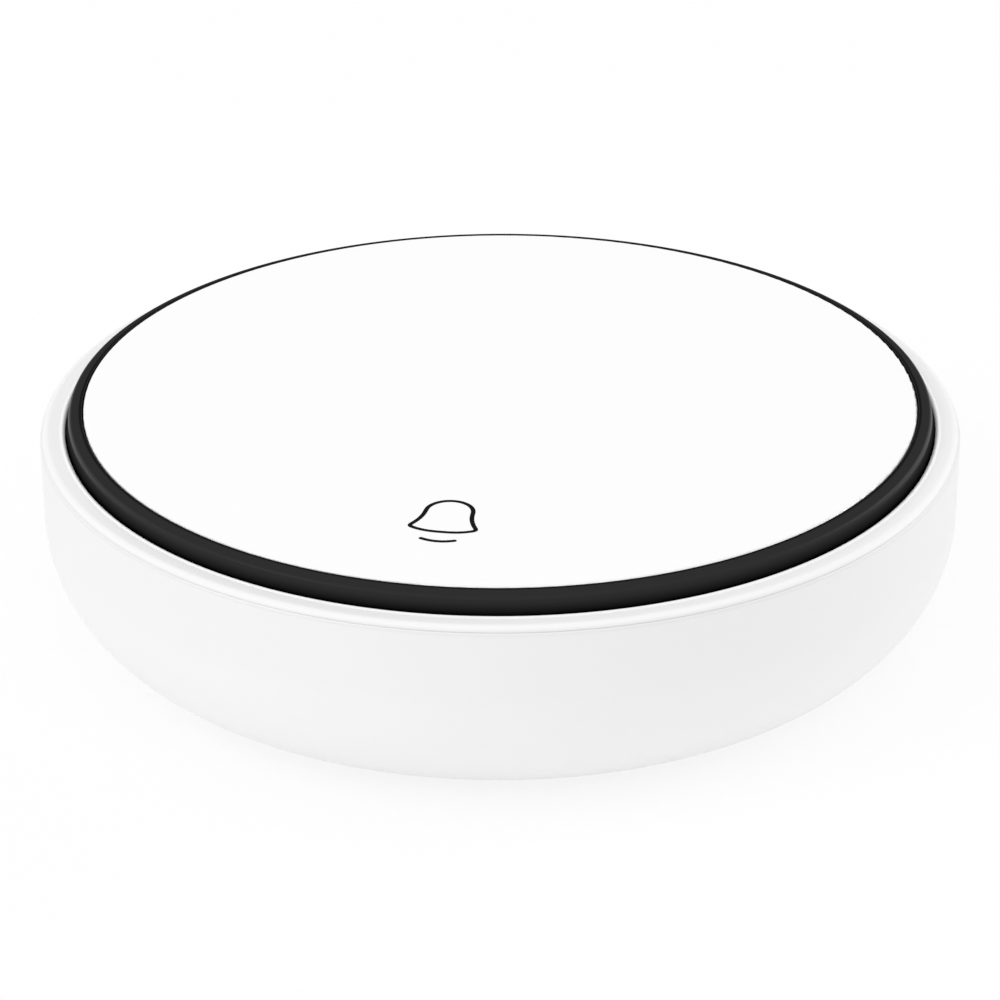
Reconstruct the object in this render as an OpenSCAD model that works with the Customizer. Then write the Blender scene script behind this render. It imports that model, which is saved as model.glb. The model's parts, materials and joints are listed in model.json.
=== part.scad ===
// Wireless call button: a round puck with one wide push plate on top.
// The origin is on the table, under the middle of the foot pad. Z points up,
// and the printed bell on the plate is on the -Y side.

/* [Housing] */
// Outer diameter of the housing
body_d = 60; // [57:0.5:72]
// Wall and floor thickness of the lower housing
wall = 1.8; // [1.4:0.1:2.4]
// Radius of the round between the side wall and the base
base_round = 8.2; // [6:0.1:9]
// Thickness of the outer skin where the two housings overlap
skin_t = 0.75; // [0.6:0.05:1]
// Thickness of the guide wall round the button
guide_t = 0.82; // [0.6:0.01:1.1]
// Clearance between the guide wall and the outer skin
lap_gap = 0.05; // [0.03:0.01:0.1]
// Height from the rim up to the top of the plate
rim_drop = 1.3; // [0.8:0.01:1.5]
// Height of the rim edge above the seam
rim_edge = 0.3; // [0.2:0.05:0.5]
// Radius of the round on the outer edge of the rim
rim_round = 0.6; // [0.5:0.05:0.7]
// Radius of the round on the inner edge of the rim
rim_ease = 0.1; // [0.05:0.05:0.2]
// Open seam between the rim and the side wall
seam_gap = 0.05; // [0.03:0.01:0.2]
// Radius of the round on the top edge of the side wall
skin_ease = 0.3; // [0.1:0.05:0.4]
// Thickness of the deck under the button
deck_t = 1.2; // [1:0.1:1.6]
// Thickness of the gasket between the housings
gasket_t = 0.4; // [0.3:0.05:0.8]
// Clearance beside the gasket
gasket_gap = 0.1; // [0.05:0.05:0.15]
// Number of stiffening ribs on the floor
floor_ribs = 8; // [4:4:16]
// Thickness of a stiffening rib
rib_t = 1; // [0.8:0.1:1.4]
// Height of a floor rib
floor_rib_h = 1.2; // [0.6:0.1:2]

/* [Button] */
// Thickness of the white plate
plate_t = 1.2; // [1:0.1:2]
// Radius of the round on the top edge of the plate
plate_ease = 0.12; // [0.05:0.01:0.2]
// Clearance round the plate
plate_gap = 0.1; // [0.06:0.01:0.15]
// Thickness of the adhesive film under the plate
film_t = 0.15; // [0.1:0.05:0.3]
// Distance from the edge of the plate to the edge of the film
film_inset = 0.6; // [0.3:0.1:2]
// Thickness of the floor of the cap
cap_floor_t = 1.2; // [1:0.1:1.8]
// Width of the black edge round the plate
edge_w = 1.05; // [0.9:0.01:1.4]
// Depth of the black edge below the top of the plate
edge_drop = 0.04; // [0.03:0.01:0.2]
// Width of the flat land on top of the black edge
edge_land = 0.15; // [0.1:0.01:0.3]
// Depth of the shoulder of the black edge below the top of the plate
shoulder_drop = 0.29; // [0.2:0.01:0.6]
// Distance of the shoulder from the outside of the black edge
shoulder_in = 0.21; // [0.15:0.01:0.4]
// Radius of the round on the shoulder
shoulder_round = 0.2; // [0.1:0.05:0.3]
// Clearance between the button and the rim
button_gap = 0.08; // [0.06:0.01:0.3]
// Travel of the button
travel = 0.5; // [0.3:0.05:0.7]
// Room left under the skirt at full travel
stop_gap = 0.4; // [0.2:0.05:0.5]
// Thickness of the skirt
skirt_t = 1.1; // [0.8:0.1:1.4]
// Number of stiffening ribs under the cap
cap_ribs = 16; // [8:8:24]
// Height of a rib under the cap
cap_rib_h = 0.6; // [0.4:0.1:0.8]
// Diameter of the pad that pushes the switch
pusher_d = 4; // [3.5:0.5:5]
// Height of the pad that pushes the switch
pusher_h = 0.32; // [0.2:0.02:0.6]
// Clearance between touching parts of the press chain
press_gap = 0.03; // [0.02:0.01:0.05]

/* [Guide legs] */
// Number of places round the button, each with a leg, a spring and two screws
sets = 4; // [3:1:5]
// Distance from the button opening to the outside of a leg
leg_inset = 3.7; // [3.2:0.1:4.2]
// Width of a leg
leg_w = 5; // [4:0.5:7]
// Thickness of a leg
leg_t = 1.2; // [1:0.1:1.4]
// Clearance beside and outside a leg in its slot
leg_gap = 0.15; // [0.1:0.05:0.3]
// Room for a leg to flex inwards
flex_gap = 0.7; // [0.5:0.1:0.9]
// Reach of a hook past its leg
hook_reach = 0.8; // [0.5:0.1:1]
// Height of a hook
hook_h = 0.9; // [0.7:0.1:1.2]
// Height of the flat edge of a hook
hook_edge = 0.3; // [0.2:0.05:0.5]
// Clearance between a hook and the deck
hook_gap = 0.05; // [0.03:0.01:0.1]

/* [Springs] */
// Outer diameter of a return spring
spring_d = 3.6; // [3.2:0.1:4]
// Diameter of the spring wire
wire_d = 0.4; // [0.3:0.05:0.45]
// Number of turns
spring_turns = 4; // [3:0.5:4.5]
// Distance from the leg slots inwards to the spring centres
spring_inset = 3.9; // [3.6:0.1:4.4]
// Clearance round a spring in its well
well_gap = 0.4; // [0.3:0.05:0.6]
// Wall of a spring well
well_wall = 0.8; // [0.6:0.1:1]
// Floor of a spring well
well_floor = 0.55; // [0.4:0.05:0.8]
// Clearance between a well and the board
well_clear = 0.15; // [0.1:0.05:0.3]
// Clearance between a spring and the pin inside it
pin_gap = 0.3; // [0.2:0.05:0.4]
// Length of the pin inside a spring
pin_h = 1.4; // [0.8:0.1:1.8]

/* [Board] */
// Thickness of the circuit board
board_t = 1; // [0.8:0.1:1.6]
// Room between the board and the deck
board_gap = 1.6; // [1.1:0.05:2]
// Distance from the leg slots inwards to the edge of the board
board_margin = 1.9; // [1.6:0.1:2.4]
// Distance from the edge of the board inwards to its screws
board_screw_in = 5.5; // [5:0.1:6]
// Diameter of a board screw boss
board_boss_d = 4.2; // [3.8:0.1:4.6]
// Shank diameter of a board screw
board_screw_d = 1.6; // [1.4:0.1:2]
// Head diameter of a board screw
board_head_d = 3.2; // [2.8:0.1:3.6]
// Head height of a board screw
board_head_h = 0.9; // [0.7:0.1:1]
// Length of thread in a board boss
board_thread = 1.8; // [1.4:0.1:2]
// Height of the parts on the board
chip_h = 0.85; // [0.6:0.05:0.95]
// Width of the square radio chip
radio_w = 5; // [4:0.5:6]
// Width of the crystal can
crystal_w = 2.5; // [2:0.1:3]
// Length of the crystal can
crystal_l = 3.2; // [2.5:0.1:4]
// Width of the ceramic antenna
antenna_w = 2; // [1.6:0.2:3]
// Length of the ceramic antenna
antenna_l = 7; // [5:0.5:8]
// Width of a resistor or capacitor
passive_w = 0.8; // [0.5:0.1:1]
// Length of a resistor or capacitor
passive_l = 1.6; // [1:0.1:2]
// Height of a resistor or capacitor
passive_h = 0.45; // [0.3:0.05:0.6]
// Distance between the resistors in a row
passive_pitch = 1.4; // [1.2:0.1:1.6]
// Distance from the switch terminals to the radio chip
radio_space = 2.8; // [2.4:0.1:3.2]
// Distance from the switch terminals to the nearest resistor
passive_space = 2.2; // [1.8:0.1:2.6]
// Clearance between the antenna and the board screw bosses
antenna_gap = 0.7; // [0.5:0.1:1]
// Clearance between the board and the bosses of the housing screws
boss_gap = 0.15; // [0.1:0.05:0.3]

/* [Switch] */
// Width of the square switch
switch_w = 6; // [5:0.5:7]
// Clearance between the switch and the deck
window_gap = 0.3; // [0.2:0.05:0.5]
// Height of the switch base
switch_h = 3.4; // [2.8:0.1:3.6]
// Thickness of the metal cover of the switch
cover_t = 0.3; // [0.2:0.05:0.4]
// Diameter of the plunger
plunger_d = 3.4; // [3:0.1:3.6]
// Height of the plunger above the cover at full travel
plunger_spare = 0.2; // [0.1:0.05:0.4]
// Width of the collar that keeps the plunger in
collar_w = 0.45; // [0.3:0.05:0.5]
// Thickness of that collar
collar_t = 0.5; // [0.4:0.05:0.7]
// Clearance round the plunger
plunger_gap = 0.08; // [0.05:0.01:0.1]
// Thickness of the floor of the switch base
switch_floor = 0.9; // [0.7:0.05:1]
// Thickness of the snap dome
dome_t = 0.1; // [0.08:0.01:0.15]
// Thickness of a terminal
terminal_t = 0.25; // [0.2:0.05:0.3]
// Width of a terminal
terminal_w = 0.8; // [0.6:0.1:1]
// Length of the foot of a terminal
terminal_l = 1.2; // [0.8:0.1:1.6]
// Distance between the two terminals on one side
terminal_pitch = 4.5; // [3.6:0.1:4.6]

/* [Battery] */
// Diameter of the coin cell
cell_d = 20; // [18:0.5:21]
// Thickness of the coin cell
cell_t = 3.2; // [2.5:0.1:4]
// Height of the narrower cap of the coin cell
cell_cap_h = 0.5; // [0.3:0.05:0.8]
// Distance from the edge of the coin cell inwards to its cap
cell_cap_in = 1.2; // [0.8:0.1:2]
// Radius of the rounds on the can of the coin cell
cell_round = 0.4; // [0.2:0.05:0.6]
// Clearance round the coin cell
cell_gap = 0.3; // [0.2:0.05:0.4]
// Clearance under the coin cell
cell_lift = 0.05; // [0.03:0.01:0.1]
// Room above the coin cell for the contact springs
contact_space = 1.9; // [1.4:0.1:2.2]
// Thickness of the contact sheet
contact_t = 0.25; // [0.2:0.05:0.3]
// Width of a contact strip
contact_w = 4; // [3:0.5:6]
// Length of the part of a contact that is soldered to the board
contact_pad = 3; // [2:0.2:4]

/* [Battery door] */
// Thickness of the door over the cell
door_t = 1.6; // [1.5:0.05:1.9]
// Thickness of the door flange
flange_t = 1.15; // [1.1:0.05:1.3]
// Clearance round and above the door
door_gap = 0.15; // [0.1:0.05:0.2]
// Wall of the collar round the cell
door_collar_t = 1.1; // [0.9:0.1:1.3]
// Thickness of the ledge that the lugs hold
ledge_t = 0.9; // [0.8:0.1:1.1]
// Number of locking lugs
lug_count = 3; // [2:1:3]
// Width of a lug as an angle
lug_angle = 30; // [24:1:34]
// Reach of a lug past the collar
lug_reach = 1.1; // [0.9:0.1:1.3]
// Thickness of a lug
lug_t = 0.7; // [0.6:0.1:0.9]
// Running clearance of a lug
lug_gap = 0.1; // [0.08:0.01:0.15]
// Turn that unlocks the door, in degrees
unlock_angle = 40; // [38:1:45]
// Spare angle on each side of a lug in its notch
notch_spare = 2; // [1:0.5:3]
// Section diameter of the door seal
seal_d = 0.78; // [0.74:0.01:0.82]
// Clearance round the door seal
seal_gap = 0.06; // [0.04:0.01:0.08]
// Width of the flange outside the seal groove
flange_edge = 0.3; // [0.25:0.05:0.6]
// Radius of the round on the lower edge of the door
door_ease = 0.15; // [0.1:0.05:0.25]
// Diameter of the marks that show how far the door is turned
mark_d = 1.2; // [0.8:0.1:1.6]
// Depth of those marks
mark_h = 0.2; // [0.1:0.05:0.3]
// Distance of the marks from the edge of the door
mark_in = 1.4; // [1:0.1:1.6]
// Length of the coin slot
slot_l = 16; // [12:0.5:18]
// Width of the coin slot
slot_w = 1.9; // [1.5:0.1:2.4]
// Depth of the coin slot
slot_h = 0.9; // [0.6:0.05:1]
// Height of the wall round the battery bay
bay_h = 2.4; // [1.6:0.1:2.6]
// Wall of the battery bay
bay_wall = 1.2; // [1:0.1:1.4]

/* [Fasteners and foot] */
// Shank diameter of a housing screw
screw_d = 1.8; // [1.6:0.1:2.2]
// Head diameter of a housing screw
head_d = 3.4; // [3:0.1:3.6]
// Head height of a housing screw
head_h = 1.3; // [1:0.1:1.4]
// Clearance round a screw
screw_gap = 0.05; // [0.03:0.01:0.1]
// Clearance round a screw head
head_gap = 0.2; // [0.15:0.05:0.3]
// Wall round a screw head
head_wall = 0.75; // [0.6:0.05:1]
// Depth of a screw head above the foot pad
head_sink = 0.5; // [0.2:0.1:0.8]
// Wall of a screw boss
boss_wall = 1.4; // [1.2:0.1:1.6]
// Height of the lower screw bosses above the floor
boss_h = 2.8; // [2.2:0.1:3]
// Width of the cross recess in a screw head
recess_w = 0.5; // [0.4:0.05:0.6]
// Depth of the cross recess in a screw head
recess_h = 0.6; // [0.4:0.05:0.7]
// Distance from the edge of a screw head to the ends of its cross recess
recess_edge = 0.7; // [0.5:0.05:0.9]
// Distance from the edge of the pad inwards to the housing screws
screw_in = 2; // [1.9:0.1:2.4]
// Height of the foot pad below the base
foot_stand = 0.4; // [0.2:0.05:0.8]
// Depth of the recess that holds the foot pad
foot_recess = 0.4; // [0.3:0.05:0.6]
// Width of the lip round the foot pad
foot_lip = 0.5; // [0.3:0.1:0.8]
// Width of the foot pad
foot_w = 4; // [3.8:0.1:5]
// Clearance round the foot pad
foot_gap = 0.1; // [0.05:0.05:0.2]
// Radius of the round on the lower edges of the foot pad
foot_ease = 0.2; // [0.1:0.05:0.3]

/* [Hidden] */
$fn = 96;
eps = 0.01;

// Heights, from the table up
base_z = foot_stand;
floor_top = base_z + wall;
door_in_z = base_z + door_t;
cell_z = door_in_z + cell_lift;
cell_top = cell_z + cell_t;
board_z = cell_top + contact_space;
board_top = board_z + board_t;
deck_z = board_top + board_gap;
deck_top = deck_z + deck_t;
cover_z = board_top + switch_h;
cover_top = cover_z + cover_t;
plunger_top = cover_top + travel + plunger_spare;
cap_z = plunger_top + press_gap + pusher_h;
cap_top = cap_z + cap_floor_t;
plate_z = cap_top + film_t;
top_z = plate_z + plate_t;
rim_z = top_z - rim_drop;
seam_z = rim_z - rim_edge;
skin_top = seam_z - seam_gap;
gasket_z = deck_z - gasket_t;
skirt_z = deck_top + travel + stop_gap;
hook_top = deck_z - hook_gap;
leg_z = hook_top - hook_h;
well_z = board_top + well_clear;
spring_z = well_z + well_floor;
switch_in_z = board_top + switch_floor;
dome_h = travel + dome_t;
ledge_z = base_z + flange_t + door_gap;
ledge_top = ledge_z + ledge_t;
lug_z = ledge_top + lug_gap;
lug_top = lug_z + lug_t;
foot_top = base_z + foot_recess;
head_seat = foot_top + head_sink + head_h;
boss_top = floor_top + boss_h;
seal_floor = ledge_z - seal_gap - seal_d;

// Radii, from the outside in
body_r = body_d / 2;
inner_r = body_r - wall;
skin_r = body_r - skin_t;
spigot_r = skin_r - lap_gap;
opening_r = spigot_r - guide_t;
cap_r = opening_r - button_gap;
seat_r = cap_r - edge_w;
plate_r = seat_r - plate_gap;
leg_r = opening_r - leg_inset;
slot_in_r = leg_r - leg_t - flex_gap;
spring_circle = slot_in_r - spring_inset;
board_r = slot_in_r - board_margin;
board_circle = board_r - board_screw_in;
flat_r = body_r - base_round;
foot_out_r = flat_r - foot_lip;
foot_in_r = foot_out_r - foot_w;
screw_circle = foot_out_r - screw_in;

// Radii of the door, from the cell out
cell_r = cell_d / 2;
collar_in_r = cell_r + cell_gap;
hub_r = collar_in_r + door_collar_t;
bore_r = hub_r + door_gap;
lug_r = hub_r + lug_reach;
notch_r = lug_r + lug_gap;
groove_in_r = notch_r + lug_gap;
groove_out_r = groove_in_r + seal_d + 2 * seal_gap;
flange_r = groove_out_r + flange_edge;
recess_r = flange_r + door_gap;
bay_in_r = notch_r + lug_gap;
bay_out_r = bay_in_r + bay_wall;
mark_door_r = flange_r - mark_in;
mark_base_r = recess_r + mark_in;

// Small radii
spring_r = spring_d / 2;
spring_mean_r = (spring_d - wire_d) / 2;
well_r = spring_r + well_gap;
pin_r = spring_r - wire_d - pin_gap;
screw_r = screw_d / 2;
pilot_r = screw_r + screw_gap;
boss_r = pilot_r + boss_wall;
head_bore_r = head_d / 2 + head_gap;
board_pilot_r = board_screw_d / 2 + screw_gap;
plunger_r = plunger_d / 2;
plunger_collar_r = plunger_r + collar_w;
switch_cavity_r = plunger_collar_r + plunger_gap;
switch_window = switch_w + 2 * window_gap;
terminal_end = switch_w / 2 + terminal_l;

// Where the patterns start: springs, screws, legs and board screws share the circle evenly
set_step = 360 / sets;
spring_at = 0;
screw_at = set_step / 4;
leg_at = set_step / 2;
board_screw_at = set_step * 3 / 4;
mark_at = -90;
leg_angle = 2 * asin(leg_w / (2 * leg_r));
slot_angle = 2 * asin((leg_w + 2 * leg_gap) / (2 * leg_r));

white = "#f6f6f4";
black = "#1b1b1c";
steel = "#c9cbcd";

// Copies of the children on a circle
module around(count, radius, start) {
    for (i = [0 : count - 1])
        rotate(start + i * 360 / count)
            translate([radius, 0, 0])
                children();
}

// Copies of the children turned about the middle
module turned(count, start) {
    for (i = [0 : count - 1])
        rotate(start + i * 360 / count)
            children();
}

// Part of a revolve, centred on the X axis
module sector(angle) {
    rotate(-angle / 2)
        rotate_extrude(angle = angle)
            children();
}

// Rectangle in a profile, given by two radii and two heights
module band(r0, r1, z0, z1) {
    translate([r0, z0])
        square([r1 - r0, z1 - z0]);
}

// What a round takes off a profile corner at (r, z); side and up say which way the corner points
module corner_waste(r, z, radius, side, up) {
    difference() {
        translate([r - (side > 0 ? radius : eps), z - (up > 0 ? radius : eps)])
            square(radius + eps);
        translate([r - side * radius, z - up * radius])
            circle(radius);
    }
}

// Cylinder between two heights
module post(radius, z0, z1) {
    translate([0, 0, z0])
        cylinder(r = radius, h = z1 - z0);
}

// Block centred on the Z axis between two heights
module block(size_x, size_y, z0, z1) {
    translate([-size_x / 2, -size_y / 2, z0])
        cube([size_x, size_y, z1 - z0]);
}

// Unit vector square to the line from a to b, pointing left
function left_of(a, b) = [a[1] - b[1], b[0] - a[0]] / norm(b - a);

// Mitred offset of point i of a path
function mitre(path, i) =
    let (last = len(path) - 1,
         before = left_of(path[max(i - 1, 0)], path[max(i, 1)]),
         after = left_of(path[min(i, last - 1)], path[min(i + 1, last)]),
         both = before + after)
    both * 2 / (both * both);

// Outline of a sheet strip of thickness t that follows a path on its left side
function strip(path, t) = concat(
    path,
    [for (i = [len(path) - 1 : -1 : 0]) path[i] + t * mitre(path, i)]
);

// White plate that is pressed
module top_plate() {
    color(white)
        rotate_extrude()
            difference() {
                band(0, plate_r, plate_z, top_z);
                corner_waste(plate_r, top_z, plate_ease, 1, 1);
            }
}

// Film that bonds the plate to the cap
module plate_adhesive() {
    color("#d8d6cc")
        post(plate_r - film_inset, cap_top, plate_z);
}

// Outline of the black edge: land, slope, shoulder and steep side
edge_top = top_z - edge_drop;
land_out_r = seat_r + edge_land;
shoulder_r = cap_r - shoulder_in;
shoulder_z = top_z - shoulder_drop;

// Unit vectors from the shoulder along the slope and down the side
slope_line = [land_out_r - shoulder_r, edge_top - shoulder_z];
side_line = [cap_r - shoulder_r, rim_z - shoulder_z];
slope_dir = slope_line / norm(slope_line);
side_dir = side_line / norm(side_line);
shoulder_half = acos(slope_dir * side_dir) / 2;
shoulder_run = shoulder_round / tan(shoulder_half);
shoulder_middle = [shoulder_r, shoulder_z]
    + (slope_dir + side_dir) / norm(slope_dir + side_dir) * shoulder_round / sin(shoulder_half);

module edge_profile() {
    polygon([
        [seat_r, cap_z],
        [seat_r, edge_top],
        [land_out_r, edge_top],
        [shoulder_r, shoulder_z] + slope_dir * shoulder_run,
        [shoulder_r, shoulder_z] + side_dir * shoulder_run,
        [cap_r, rim_z],
        [cap_r, cap_z]
    ]);
    translate(shoulder_middle)
        circle(shoulder_round);
}

// Leg with an outward hook and a tapered lead-in
module leg_profile() {
    polygon([
        [leg_r - leg_t, cap_z + eps],
        [leg_r - leg_t, leg_z],
        [leg_r - leg_t / 2, leg_z],
        [leg_r + hook_reach, hook_top - hook_edge],
        [leg_r + hook_reach, hook_top],
        [leg_r, hook_top],
        [leg_r, cap_z + eps]
    ]);
}

// Black carrier of the plate, with its skirt, ribs, pusher, spring pins and guide legs
module button_cap() {
    rib_in_r = switch_w;
    rib_len = cap_r - skirt_t / 2 - rib_in_r;
    color(black) {
        rotate_extrude() {
            band(0, cap_r, cap_z, cap_top);
            band(cap_r - skirt_t, cap_r, skirt_z, cap_z + eps);
            edge_profile();
        }
        post(pusher_d / 2, plunger_top + press_gap, cap_z + eps);
        around(sets, spring_circle, spring_at)
            post(pin_r, cap_z - pin_h, cap_z + eps);
        turned(sets, leg_at)
            sector(leg_angle)
                leg_profile();
        difference() {
            turned(cap_ribs, screw_at / 2)
                translate([rib_in_r, -rib_t / 2, cap_z - cap_rib_h])
                    cube([rib_len, rib_t, cap_rib_h + eps]);
            around(sets, spring_circle, spring_at)
                post(well_r, cap_z - cap_rib_h - eps, cap_z);
        }
    }
}

// One ring of the spring tube at step i
function coil_ring(i, steps, sides, z0, z1) =
    let (t = i / steps,
         turn = 360 * spring_turns * t,
         z = z0 + (z1 - z0) * t)
    [for (j = [0 : sides - 1])
        let (a = 360 * j / sides,
             r = spring_mean_r + wire_d / 2 * cos(a))
        [r * cos(turn), r * sin(turn), z + wire_d / 2 * sin(a)]];

// Coil spring between two heights, swept as one tube
module coil(z0, z1) {
    sides = 6;
    steps = round(8 * spring_turns);
    rings = [for (i = [0 : steps]) each coil_ring(i, steps, sides, z0, z1)];
    walls = [for (i = [0 : steps - 1], j = [0 : sides - 1])
        let (a = i * sides + j,
             b = i * sides + (j + 1) % sides)
        each [[a, a + sides, b], [b, a + sides, b + sides]]];
    first_end = [for (j = [1 : sides - 2]) [0, j, j + 1]];
    last = steps * sides;
    last_end = [for (j = [1 : sides - 2]) [last, last + j + 1, last + j]];
    polyhedron(rings, concat(walls, first_end, last_end), convexity = 10);
}

// Springs between the wells of the deck and the cap
module return_springs() {
    color(steel)
        around(sets, spring_circle, spring_at)
            coil(spring_z + wire_d / 2, cap_z - wire_d / 2);
}

// White rim with its guide wall, deck, spring wells, leg slots and bosses
module upper_housing() {
    color(white)
        difference() {
            union() {
                rotate_extrude()
                    difference() {
                        union() {
                            band(opening_r, body_r, seam_z, rim_z);
                            band(opening_r, spigot_r, deck_z, seam_z + eps);
                            band(0, spigot_r, deck_z, deck_top);
                        }
                        corner_waste(body_r, rim_z, rim_round, 1, 1);
                        corner_waste(opening_r, rim_z, rim_ease, -1, 1);
                    }
                around(sets, spring_circle, spring_at)
                    post(well_r + well_wall, well_z, deck_z + eps);
                around(sets, screw_circle, screw_at)
                    post(boss_r, boss_top, deck_z + eps);
                around(sets, board_circle, board_screw_at)
                    post(board_boss_d / 2, board_top, deck_z + eps);
            }
            around(sets, spring_circle, spring_at)
                post(well_r, spring_z, deck_top + eps);
            around(sets, screw_circle, screw_at)
                post(pilot_r, boss_top - eps, deck_top - deck_t / 2);
            around(sets, board_circle, board_screw_at)
                post(board_pilot_r, board_top - eps, board_top + board_thread + screw_gap);
            turned(sets, leg_at)
                sector(slot_angle)
                    band(slot_in_r, leg_r + leg_gap, deck_z - eps, deck_top + eps);
            block(switch_window, switch_window, deck_z - eps, deck_top + eps);
        }
}

// Flat seal on the ledge of the lower housing, under the deck
module housing_gasket() {
    color("#8a8d90")
        rotate_extrude()
            band(inner_r + gasket_gap, spigot_r - gasket_gap, gasket_z, deck_z);
}

// Outside of the lower housing, with its big base round
module bowl_profile() {
    difference() {
        band(0, body_r, base_z, skin_top);
        corner_waste(body_r, base_z, base_round, 1, -1);
        corner_waste(body_r, skin_top, skin_ease, 1, 1);
    }
}

// Hollow of the lower housing
module bowl_hollow() {
    difference() {
        band(0, inner_r, floor_top, gasket_z + eps);
        corner_waste(inner_r, floor_top, base_round - wall, 1, -1);
    }
    band(0, skin_r, gasket_z, skin_top + eps);
}

// Sunk round mark on the underside
module mark_dot(radius) {
    translate([radius, 0, 0])
        post(mark_d / 2, base_z - eps, base_z + mark_h);
}

// Sunk ring mark on the underside
module mark_ring(radius) {
    translate([radius, 0, 0])
        difference() {
            post(mark_d / 2, base_z - eps, base_z + mark_h);
            post(mark_d / 4, base_z - 2 * eps, base_z + mark_h + eps);
        }
}

// White side wall and base, with the battery bay, door ledge, bosses and ribs
module lower_housing() {
    color(white)
        difference() {
            union() {
                rotate_extrude() {
                    difference() {
                        bowl_profile();
                        bowl_hollow();
                    }
                    band(bay_in_r, bay_out_r, floor_top - eps, floor_top + bay_h);
                    band(0, bay_in_r + eps, base_z, ledge_top);
                }
                around(sets, screw_circle, screw_at)
                    post(head_bore_r + head_wall, floor_top - wall / 2, boss_top);
                intersection() {
                    turned(floor_ribs, leg_at)
                        translate([bay_in_r + bay_wall / 2, -rib_t / 2, floor_top - wall / 2])
                            cube([inner_r - bay_in_r - bay_wall / 2, rib_t, wall / 2 + floor_rib_h]);
                    rotate_extrude()
                        bowl_profile();
                }
            }
            rotate_extrude() {
                band(0, bay_in_r, ledge_top, floor_top + bay_h + eps);
                band(0, recess_r, base_z - eps, ledge_z);
                band(0, bore_r, base_z - eps, ledge_top + eps);
                band(foot_in_r - foot_gap, foot_out_r + foot_gap, base_z - eps, foot_top);
            }
            turned(lug_count, -unlock_angle)
                sector(lug_angle + 2 * notch_spare)
                    band(bore_r - eps, notch_r, ledge_z - eps, ledge_top + eps);
            around(sets, screw_circle, screw_at) {
                post(head_bore_r, foot_top - eps, head_seat);
                post(pilot_r, head_seat - eps, boss_top + eps);
            }
            rotate(mark_at)
                mark_dot(mark_base_r);
            rotate(mark_at - unlock_angle)
                mark_ring(mark_base_r);
        }
}

// Cross-recess screw with its head down
module screw(head_r, head_height, shank_r, seat, tip) {
    face = seat - head_height;
    recess_l = 2 * (head_r - recess_edge);
    difference() {
        union() {
            post(head_r, face, seat);
            post(shank_r, seat - eps, tip);
        }
        for (quarter = [0, 90])
            rotate(quarter)
                block(recess_l, recess_w, face - eps, face + recess_h);
    }
}

// Screws from the base into the upper housing
module housing_screws() {
    color(steel)
        around(sets, screw_circle, screw_at)
            screw(head_d / 2, head_h, screw_r, head_seat, deck_z);
}

// Round board with its screw holes and boss notches
module circuit_board() {
    color("#1f6b3a")
        translate([0, 0, board_z])
            linear_extrude(board_t)
                difference() {
                    circle(board_r);
                    around(sets, screw_circle, screw_at)
                        circle(boss_r + boss_gap);
                    around(sets, board_circle, board_screw_at)
                        circle(board_pilot_r);
                }
}

// Screws that hold the board up against the deck
module board_screws() {
    color(steel)
        around(sets, board_circle, board_screw_at)
            screw(board_head_d / 2, board_head_h, board_screw_d / 2, board_z, board_top + board_thread);
}

// Moulded base of the switch with its round cavity
module switch_base() {
    color("#2a2a2c")
        difference() {
            block(switch_w, switch_w, board_top, cover_z);
            post(switch_cavity_r, switch_in_z, cover_z + eps);
        }
}

// Metal cover of the switch
module switch_cover() {
    color(steel)
        difference() {
            block(switch_w, switch_w, cover_z, cover_top);
            post(plunger_r + plunger_gap, cover_z - eps, cover_top + eps);
        }
}

// Snap dome on the floor of the switch
module switch_dome() {
    rim_r = plunger_collar_r;
    ball_r = (rim_r * rim_r + dome_h * dome_h) / (2 * dome_h);
    color(steel)
        rotate_extrude()
            intersection() {
                translate([0, switch_in_z + dome_h - ball_r])
                    difference() {
                        circle(ball_r);
                        circle(ball_r - dome_t);
                    }
                band(0, rim_r, switch_in_z, switch_in_z + dome_h);
            }
}

// Plunger with the collar that keeps it under the cover
module switch_plunger() {
    collar_top = cover_z - press_gap;
    color("#3a3a3d")
        rotate_extrude() {
            band(0, plunger_r, collar_top - collar_t, plunger_top);
            band(0, plunger_collar_r, collar_top - collar_t, collar_top);
            band(0, plunger_r / 2, switch_in_z + dome_h + press_gap, collar_top);
        }
}

// Four bent terminals that stand on the board
module switch_terminals() {
    color("#d4c27a")
        for (side = [0, 180], along = [-1, 1])
            rotate(side)
                translate([switch_w / 2, along * terminal_pitch / 2 + terminal_w / 2, board_top])
                    rotate([90, 0, 0])
                        linear_extrude(terminal_w)
                            polygon(strip([[0, switch_floor], [0, 0], [terminal_l, 0]], terminal_t));
}

// Places of the parts on the board, as distance from the middle and angle
radio_circle = terminal_end + radio_space + radio_w / 2;
antenna_circle = board_circle * cos(set_step / 4) - board_boss_d / 2 - antenna_gap - antenna_w / 2;
radio_at = [radio_circle, 180];
crystal_at = [radio_circle, 225];
antenna_at = [antenna_circle, 0];
passive_at = [[0, 150], [1, 143], [2, 138], [0, 118], [1, 118], [2, 118], [0.5, 262], [1.5, 262]];

// Place of a resistor from its step in the row and its angle
function passive_place(step) =
    [terminal_end + passive_space + passive_w / 2 + step[0] * passive_pitch, step[1]];

// Board part with a body of the given plan
module chip(place, size_x, size_y, height) {
    rotate(place[1])
        translate([place[0], 0, 0])
            block(size_x, size_y, board_top, board_top + height);
}

// Radio transmitter chip
module radio_chip() {
    color("#202124")
        chip(radio_at, radio_w, radio_w, chip_h);
}

// Clock crystal in its metal can
module crystal_can() {
    color("#d9dadb")
        chip(crystal_at, crystal_w, crystal_l, chip_h);
}

// Ceramic antenna
module chip_antenna() {
    color("#e9e4d6")
        chip(antenna_at, antenna_w, antenna_l, chip_h);
}

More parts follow.
